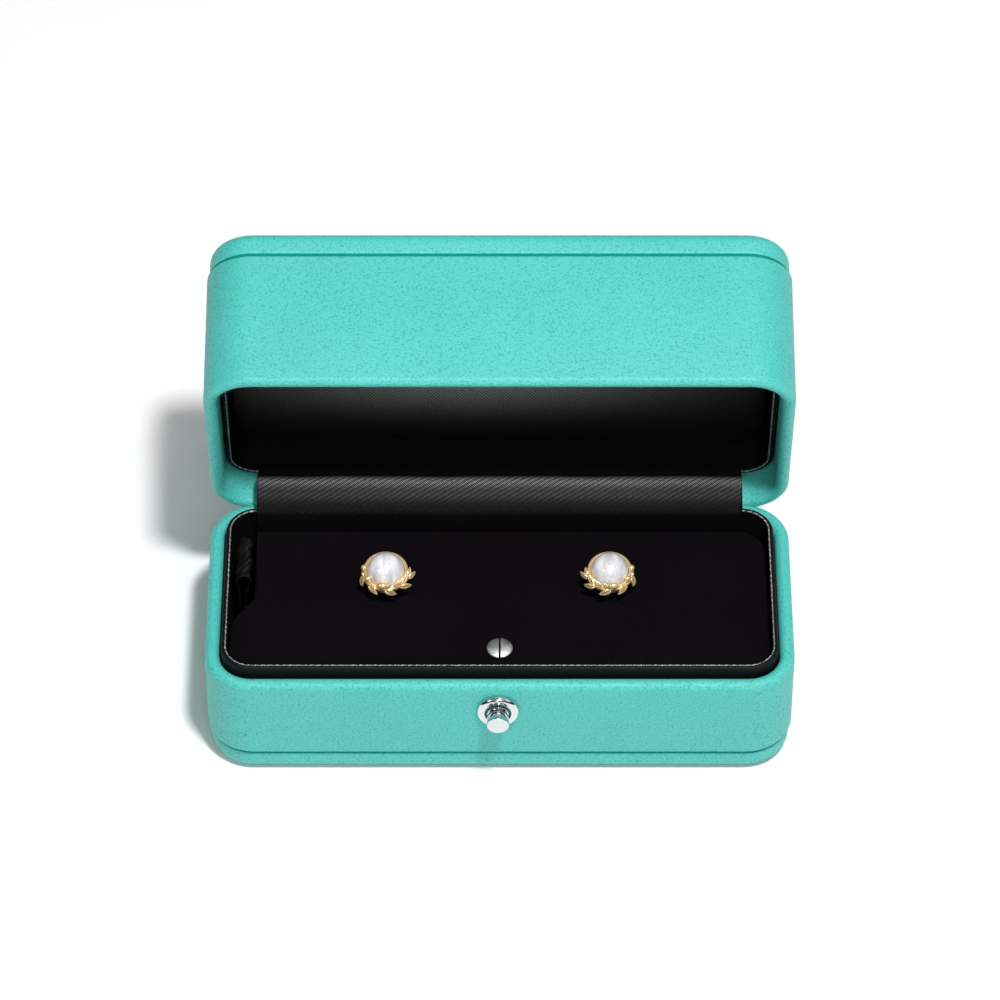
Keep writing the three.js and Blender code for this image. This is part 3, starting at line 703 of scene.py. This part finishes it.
def hinge_cloth_grid():
    """The section carried along the hinge, with low waves that die out at the glued ends."""
    way, length = hinge_cloth_way()
    ahead = np.gradient(way, axis=0)
    ahead /= np.linalg.norm(ahead, axis=1, keepdims=True)
    up = np.stack([-ahead[:, 1], ahead[:, 0]], -1)
    x = np.linspace(cloth_low[0], cloth_high[0], CLOTH_WIDTH_STEPS)
    s = np.linspace(0, 1, CLOTH_STEPS)[:, None]
    fade = np.sin(math.pi * s) ** 2
    wave = sum(height * np.sin(pitch * x + phase + drift * s) for height, pitch, phase, drift in CLOTH_WAVES)
    offset = CLOTH_WAVE * fade * wave / 2
    grid = np.empty((CLOTH_STEPS, CLOTH_WIDTH_STEPS, 3))
    grid[..., 0] = x
    grid[..., 1] = way[:, :1] + up[:, :1] * offset
    grid[..., 2] = way[:, 1:] + up[:, 1:] * offset
    flat = np.stack(np.meshgrid(s[:, 0] * length, x - x[0], indexing="ij"), -1)
    return grid, flat, length


# Painted highlight: a band along the roll's crest, with a weaker band below it, is painted lit; the rest of
# the cloth is painted darker.
cloth_satin = satin("hinge_satin", (0.01, 0.01, 0.01, 1), (0.48, 0.48, 0.49, 1), 0.46, 0.9, 0.3)
paint_lit_patches(cloth_satin, [((12.5, 46.0), (1.1, 90.0), 1.2), ((10.1, 46.0), (1.4, 90.0), 0.34)], 0.02)
grid, flat, cloth_length = hinge_cloth_grid()
hinge_cloth = new_piece("satin_hinge_cloth", [(grid, False, False, False)], flat)
thicken(hinge_cloth, CLOTH_T)
dress(hinge_cloth, None, "black_satin", cloth_satin, "hinge_cloth")
cloth_length * MM
(COLLAR_INNER_Y + COLLAR_T / 2) * MM
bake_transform(hinge_cloth)

# The latch: a chromed brass surround pressed into the front wall, the push button that slides in it, and
# the domed catch on the pad with its narrow slot.
surround_low, surround_high = corners("latch_escutcheon")
button_low, button_high = corners("latch_button")
catch_low, catch_high = corners("latch_catch")
LATCH_X, LATCH_Z = (button_low[[0, 2]] + button_high[[0, 2]]) / 2
TURNED_STEPS = 96
BUTTON_CLEAR = 0.4
SURROUND_T = 0.8
SURROUND_EDGE = 0.8
SURROUND_LIP = 0.22
SURROUND_TAPER = [0.9, 0.4]
BUTTON_RIDGE = 0.42
BUTTON_EDGE = 0.1
CATCH_RIM = 0.35
CATCH_FOOT = 0.15
CATCH_SLOT = 0.32
CATCH_SLOT_L = 6.0
CATCH_SLOT_DEPTH = 1.2


def turned(profile):
    """A [radius, height] profile turned about the upright axis."""
    r, height = np.asarray(profile, float).T[:, :, None]
    angle = np.linspace(0, 2 * math.pi, TURNED_STEPS, endpoint=False)[None, :]
    return np.stack([r * np.cos(angle), r * np.sin(angle), height + 0 * angle], -1)


def facing_front(points, middle):
    """An upright turned shape laid down so that its height points to the box's front."""
    x, y, z = np.moveaxis(points, -1, 0)
    return np.stack([middle[0] + x, middle[1] - z, middle[2] + y], -1)


chrome, start, lead = new_finish("latch_chrome", Metallic=1.0, Base_Color=(0.7, 0.71, 0.72, 1))
polish = start.noise(start.place(), 900.0, 4.0)
lead(polish * 0.05 + 0.05, "Roughness")
lead(start.bump(start.noise(start.place(), 260.0), 0.000006), "Normal")

front = (LATCH_X, -HALF_DEPTH, LATCH_Z)
button_r = (button_high[0] - button_low[0]) / 2
surround_r = (surround_high[0] - surround_low[0]) / 2
bore = button_r + BUTTON_CLEAR
face = -HALF_DEPTH - surround_low[1]
surround_profile = np.concatenate([
    [[bore, -surround_high[1] - HALF_DEPTH],
     [surround_r - SURROUND_TAPER[0], face - SURROUND_T - SURROUND_TAPER[1]]],
    arc((surround_r - SURROUND_EDGE, face - SURROUND_EDGE), SURROUND_EDGE, 0, 90, 16),
    arc((bore + SURROUND_LIP, face - SURROUND_LIP), SURROUND_LIP, 90, 180, 8),
])
surround = new_piece("latch_surround", [(facing_front(turned(surround_profile), front), True, True, False)])
dress(surround, "base", "chrome", chrome, "latch_escutcheon")

BUTTON_RINGS = [
    # [place along the proud length as a share of it, share of the ridge's height]
    [0.17, 0],
    [0.2, 0.9],
    [0.22, 1],
    [0.3, 1],
    [0.32, 0.9],
    [0.35, 0],
    [0.42, 0],
    [0.45, 0.9],
    [0.47, 1],
]
proud = -HALF_DEPTH - button_low[1]
inside = -HALF_DEPTH - button_high[1]
neck = button_r - BUTTON_RIDGE
button_profile = np.concatenate([
    [[0, inside], [neck, inside]],
    [[neck + height * BUTTON_RIDGE, place * proud] for place, height in BUTTON_RINGS],
    arc((button_r - BUTTON_EDGE, proud - BUTTON_EDGE), BUTTON_EDGE, 0, 90, 6),
    [[0, proud]],
])
button = new_piece("latch_push_button", [(facing_front(turned(button_profile), front), False, True, False)])
dress(button, "button", "chrome", chrome, "latch_button")

catch_r = (catch_high[0] - catch_low[0]) / 2
catch_middle = (catch_low + catch_high) / 2
catch_dome = catch_high[2] - catch_low[2] - CATCH_RIM
dome = arc((0, 0), 1, 0, 90, 24) * [catch_r, catch_dome] + [0, CATCH_RIM]
catch_profile = np.concatenate([[[0, 0], [catch_r - CATCH_FOOT, 0]], dome])
catch_profile[-1, 0] = 0
catch_points = turned(catch_profile) + [catch_middle[0], catch_middle[1], catch_low[2]]
brushed_steel, start, lead = new_finish("catch_metal", Metallic=1.0, Base_Color=(0.92, 0.92, 0.93, 1))
brushing = start.noise(start.place(), 800.0, 4.0)
lead(brushing * 0.3 + 0.3, "Roughness")
lead(start.bump(brushing, 0.00004), "Normal")
catch = new_piece("latch_dome", [(catch_points, False, True, False)])
slot_middle = [catch_middle[0], catch_middle[1], catch_high[2]]
slot_plan = np.array([[-1, -1], [1, -1], [1, 1], [-1, 1]]) * [CATCH_SLOT / 2, CATCH_SLOT_L / 2]
slot_ends = (-CATCH_SLOT_DEPTH, 2 * CATCH_SLOT_DEPTH)
slot_points = np.stack([np.column_stack([slot_plan, np.full(4, z)]) for z in slot_ends])
cutter = new_piece("slot_cutter", [(slot_points + slot_middle, False, True, True)])
cut = catch.modifiers.new("slot", "BOOLEAN")
cut.operation, cut.object, cut.solver = "DIFFERENCE", cutter, "EXACT"
bpy.context.view_layer.update()
catch.data = bpy.data.meshes.new_from_object(catch.evaluated_get(bpy.context.evaluated_depsgraph_get()))
catch.modifiers.clear()
bpy.data.objects.remove(cutter)
dress(catch, "base", "chrome", brushed_steel, "latch_catch")

# The earrings: each is a round pearl in a gold cup. In front of it a soldered wreath of pointed, creased
# leaves and small buds grows along a half ring of wire. The right earring mirrors the left one.
STEM_OUT = 0.2
STEM_RISE = -0.14
STEM_R = 0.3
STEM_END_DEG = 97
LEAF_THICKNESS = 0.16
LEAF_BOW = 1.04
LEAF_LOOKS = (0, -0.6, 0.35)
LEAF_BELLY = 0.8
LEAF_SWELL = [0.25, 0.6]
LEAF_CREASE = 0.55
LEAF_CREASE_W = 0.2
LEAF_RISE = 0.55
LEAF_ROUND = 0.8
LEAF_END_STEEP = 2.5
CUP_CLEAR = 0.04
CUP_T = 0.68
CUP_FOOT = 0.1
CUP_RISE_DEG = [3.0, 9.0]
POST_R = 0.45
POST_IN_CUP = 0.2
PEARL_UNEVEN = 0.003

LEAVES = [
    # [turn at the stem, turn at the tip, tip out, tip rise, width]
    [-82, -60, 0.42, -0.44, 0.62],
    [-50, -17, 0.35, -0.44, 0.4],
    [-40, -20, 0.26, -0.12, 0.26],
    [-5, 26, 0.4, -0.44, 0.42],
    [2, 16, 0.13, 0.28, 0.26],
    [20, 42, 0.13, 0.29, 0.28],
    [35, 58, 0.13, 0.29, 0.28],
    [36, 66, 0.53, -0.36, 0.37],
    [55, 80, 0.14, 0.26, 0.28],
    [70, 97, 0.28, 0.18, 0.28],
    [70, 95, 0.57, -0.14, 0.35],
]

BUDS = [
    # [turn, out, rise, radius, length along the stem]
    [-98, 0.16, 0.08, 0.17, 0.18],
    [-82, 0.21, -0.05, 0.1, 0.13],
    [-55, 0.14, 0.12, 0.17, 0.18],
    [-8, 0.17, 0.12, 0.21, 0.3],
]


def unit(vectors):
    """Vectors scaled to length 1."""
    return vectors / np.linalg.norm(vectors, axis=-1, keepdims=True)


def beside_pearl(turn_deg, out, rise):
    """Points beside the pearl: turn in degrees from the front, out and rise as shares of its radius."""
    turn = np.radians(turn_deg)
    r = pearl_r * (1 + out)
    return np.stack([r * np.sin(turn), -r * np.cos(turn), pearl_r * rise + 0 * turn], -1)


def leaf(stem_turn, tip_turn, tip_out, tip_rise, width):
    """A pointed leaf along a quadratic curve from the stem to its tip. Its half width falls as a sine to
    both ends; its section is a lens with a crease along the middle of its outer face."""
    base = beside_pearl(stem_turn, STEM_OUT, STEM_RISE)
    tip = beside_pearl(tip_turn, tip_out, tip_rise)
    middle = LEAF_BOW * beside_pearl((stem_turn + tip_turn) / 2, (STEM_OUT + tip_out) / 2,
                                     (STEM_RISE + tip_rise) / 2)
    t = np.linspace(0, 1, 25)[:, None]
    spine = (1 - t) ** 2 * base + 2 * t * (1 - t) * middle + t ** 2 * tip
    along = unit((1 - t) * (middle - base) + t * (tip - middle))
    out = unit(spine + pearl_r * np.array(LEAF_LOOKS))
    across = unit(np.cross(along, out))
    face = unit(np.cross(across, along))
    half = width * pearl_r * np.sin(math.pi * t ** LEAF_BELLY) / 2
    lift = LEAF_THICKNESS * pearl_r * np.sin(math.pi * (LEAF_SWELL[0] + LEAF_SWELL[1] * t))
    lift = lift * np.minimum(1, np.sin(math.pi * t) * LEAF_END_STEEP)
    angle = np.linspace(0, 2 * math.pi, 28, endpoint=False)[None, :]
    side = np.cos(angle)
    crease = 1 - LEAF_CREASE * np.exp(-(side / LEAF_CREASE_W) ** 2) * (np.sin(angle) > 0)
    rise = np.sign(np.sin(angle)) * np.abs(np.sin(angle)) ** LEAF_ROUND * crease * LEAF_RISE
    wide, high = (half * side)[..., None], (lift * rise)[..., None]
    return spine[:, None] + wide * across[:, None] + high * face[:, None]


def bud(turn, out, rise, radius, length):
    """A small oval bud that lies along the stem."""
    t = np.linspace(0, math.pi, 17)[:, None]
    angle = np.linspace(0, 2 * math.pi, 24, endpoint=False)[None, :]
    along = length * np.cos(t) + 0 * angle
    side = radius * np.sin(t) * np.cos(angle)
    height = radius * np.sin(t) * np.sin(angle)
    c, s = math.cos(math.radians(turn)), math.sin(math.radians(turn))
    oval = np.stack([along * c - side * s, along * s + side * c, height], -1) * pearl_r
    return oval + beside_pearl(turn, out, rise)


def stem():
    """The half ring of round wire."""
    turn = np.linspace(-STEM_END_DEG, STEM_END_DEG, 65)
    middle = beside_pearl(turn, STEM_OUT, STEM_RISE)[:, None]
    out = unit(beside_pearl(turn, 0, 0))[:, None]
    angle = np.linspace(0, 2 * math.pi, 16, endpoint=False)[None, :, None]
    return middle + STEM_R * (np.cos(angle) * out + np.sin(angle) * np.array([0, 0, 1.0]))


def cup():
    """The cup: a bowl with a flat foot. Its rounded rim stands above the pearl's middle at the back and dips
    towards the front by a sine of the turn, where the leaves lie over it."""
    inner_r = pearl_r + CUP_CLEAR
    half_wall = (cup_r - inner_r) / 2
    angle = np.linspace(0, 2 * math.pi, TURNED_STEPS, endpoint=False)[None, :]
    rise = np.radians(CUP_RISE_DEG[0] + CUP_RISE_DEG[1] * np.sin(angle))
    foot = -math.asin(foot_drop / cup_r)
    climb = foot + (rise - foot) * np.linspace(0, 1, 33)[:, None]
    over = rise + np.linspace(0, math.pi, 13)[1:-1, None]
    down = rise + (-math.pi / 2 - rise) * np.linspace(0, 1, 33)[:, None]
    middle_r = inner_r + half_wall
    r = np.concatenate([0 * angle, cup_r * np.cos(climb),
                        middle_r * np.cos(rise) + half_wall * np.cos(over), inner_r * np.cos(down)])
    z = np.concatenate([0 * angle - foot_drop, cup_r * np.sin(climb),
                        middle_r * np.sin(rise) + half_wall * np.sin(over), inner_r * np.sin(down)])
    r[-1] = 0
    return np.stack([r * np.cos(angle), r * np.sin(angle), z], -1)


def post():
    """The ear post, a plain pin with a rounded end that stands in the pad."""
    end = arc((0, 0), POST_R, -90, 0, 6) + [0, post_bottom + POST_R]
    end[0, 0] = 0
    return turned(np.concatenate([end, [[POST_R, POST_IN_CUP - foot_drop], [0, POST_IN_CUP - foot_drop]]]))


def pearl_ball():
    """The pearl: a ball with the slight unevenness of a grown one."""
    t = np.linspace(0, math.pi, 65)[:, None]
    angle = np.linspace(0, 2 * math.pi, 96, endpoint=False)[None, :]
    r = pearl_r * (1 + PEARL_UNEVEN * (np.sin(3 * angle + 1) * np.sin(t) ** 2 * np.cos(2 * t) - 1))
    level = r * np.sin(t)
    return np.stack([level * np.cos(angle), level * np.sin(angle), r * np.cos(t) + 0 * angle], -1)


gold, start, lead = new_finish("gold", Metallic=0.58, Specular_IOR_Level=0.5)
place = start.place()
tone = start.noise(place, 700.0, 3.0)
lead(tone.mixed((1.0, 0.69, 0.33, 1), (1.0, 0.77, 0.44, 1)), "Base Color")
lead(start.noise(place, 2600.0, 3.0) * 0.1 + 0.14, "Roughness")
lead(start.bump(start.noise(place, 1500.0, 3.0), 0.00001), "Normal")

lustre, start, lead = new_finish("pearl_lustre", Coat_Weight=1.0, Coat_Roughness=0.16, Specular_IOR_Level=0.7,
                                 Subsurface_Weight=0.15, Subsurface_Radius=(0.001, 0.0008, 0.0008))
place = start.place()
# Painted reflection: stretched pale and grey streaks in the base colour stand in for bright panels reflected
# in the pearl.
drawn_out = start.add("ShaderNodeVectorMath", {"operation": "MULTIPLY"}, {0: place, 1: (1.0, 0.35, 0.35)})
painted_reflection_streaks = start.noise(drawn_out, 700.0, 3.0)
lead((painted_reflection_streaks * 3 - 1.0).clamped().mixed((0.6, 0.61, 0.65, 1), (0.93, 0.91, 0.91, 1)), "Base Color")
lead(start.noise(place, 260.0, 2.0) * 0.15 + 0.2, "Roughness")

for word, mirror in (("left", 1), ("right", -1)):
    pearl_low, pearl_high = corners(word + "_pearl")
    setting_low, setting_high = corners(word + "_setting")
    middle = (pearl_low + pearl_high) / 2
    pearl_r = (pearl_high[2] - pearl_low[2]) / 2
    cup_r = pearl_r + CUP_T
    foot_drop = cup_r - CUP_FOOT
    post_bottom = setting_low[2] - middle[2]
    shapes = [(stem(), False, True, True), (cup(), False, True, False), (post(), False, True, False)]
    shapes += [(leaf(*row), False, True, False) for row in LEAVES]
    shapes += [(bud(*row), False, True, False) for row in BUDS]
    placed = [(grid * [mirror, 1, 1] + middle, *closes) for grid, *closes in shapes]
    setting = new_piece(word + "_gold_wreath", placed)
    dress(setting, "base", "gold", gold, word + "_setting")
    ball = new_piece(word + "_round_pearl", [(pearl_ball() + middle, False, True, False)])
    dress(ball, "base", "pearl", lustre, word + "_pearl")

# The studio: a plain white floor, a small key light high on the right and a narrow spot from the front on
# the lid's satin. Round them stands a pale room with broad bright panels for the pearls, the gold and the
# chrome to reflect. Where the camera sees past the floor's edge, the room has one even tone.
FLOOR_HALF = 3.0
KEY_DIRECTION = np.array([0.17, -0.34, 1.0])
KEY_DISTANCE = 1.3
KEY_SIZE = 0.12
KEY_POWER = 14.0
ROOM_HORIZON = 0.03
ROOM_CLIMB = 2.6
ROOM_DROP = 0.75
ROOM_TOP = 0.3
ROOM_RIGHT = 0.22
ROOM_SEEN = 0.62
PANELS = [
    # [direction, how narrow, brightness]
    [(0.1, -0.74, 0.67), 90, 6.0],
    [(-0.62, -0.5, 0.62), 120, 5.5],
    [(0.75, -0.2, 0.62), 60, 1.2],
]

corner = FLOOR_HALF / MM * np.array([[[-1, -1, 0], [1, -1, 0]], [[-1, 1, 0], [1, 1, 0]]])
floor = new_piece("floor", [(corner, False, False, False)])
paper, start, lead = new_finish("floor_paper", Roughness=0.9)
grain = start.noise(start.place(), 900.0, 2.0)
lead(grain.mixed((0.94, 0.94, 0.94, 1), (0.96, 0.96, 0.96, 1)), "Base Color")
floor.data.materials.append(paper)


def area_light(name, place, aim, size, power):
    """A square area light that faces the aim."""
    data = bpy.data.lights.new(name, "AREA")
    data.shape, data.size, data.energy = "SQUARE", size, power
    light = bpy.data.objects.new(name, data)
    light.location = place
    light.rotation_euler = (Vector(aim) - Vector(place)).to_track_quat("-Z", "Y").to_euler()
    scene.collection.objects.link(light)


middle_of_box = np.array([0.0, 0.01, 0.03])
key_place = middle_of_box + KEY_DIRECTION / np.linalg.norm(KEY_DIRECTION) * KEY_DISTANCE
area_light("key", key_place, middle_of_box, KEY_SIZE, KEY_POWER)

SPOT_PLACE = (-0.02, -0.55, 0.085)
SPOT_AIM = (-0.002, 0.027, 0.063)
SPOT_POWER = 1.6
SPOT_DEG = 9.0
SPOT_R = 0.03
spot_data = bpy.data.lights.new("front_spot", "SPOT")
spot_data.energy, spot_data.spot_size, spot_data.spot_blend = SPOT_POWER, math.radians(SPOT_DEG), 1.0
spot_data.shadow_soft_size = SPOT_R
spot = bpy.data.objects.new("front_spot", spot_data)
spot.location = SPOT_PLACE
spot.rotation_euler = (Vector(SPOT_AIM) - Vector(SPOT_PLACE)).to_track_quat("-Z", "Y").to_euler()
scene.collection.objects.link(spot)

world = bpy.data.worlds.new("studio")
world.use_nodes = True
scene.world = world
background = world.node_tree.nodes["Background"]
background.inputs["Color"].default_value = (1, 1, 1, 1)
room = Link(world.node_tree)
way = room.add("ShaderNodeTexCoord", output="Generated")
height, across = way.part(2), way.part(0)
glow = (height * ROOM_CLIMB - ROOM_DROP).clamped() * (across * ROOM_RIGHT + ROOM_TOP) + ROOM_HORIZON
for direction, narrow, bright in PANELS:
    facing = way.add("ShaderNodeVectorMath", {"operation": "DOT_PRODUCT"},
                     {0: way, 1: tuple(unit(np.array(direction)))}, "Value")
    glow = glow + facing.math("MAXIMUM", facing, 0.0) ** narrow * bright
seen = room.add("ShaderNodeLightPath", output="Is Camera Ray")
world.node_tree.links.new((glow * (1 - seen) + seen * ROOM_SEEN).socket, background.inputs["Strength"])
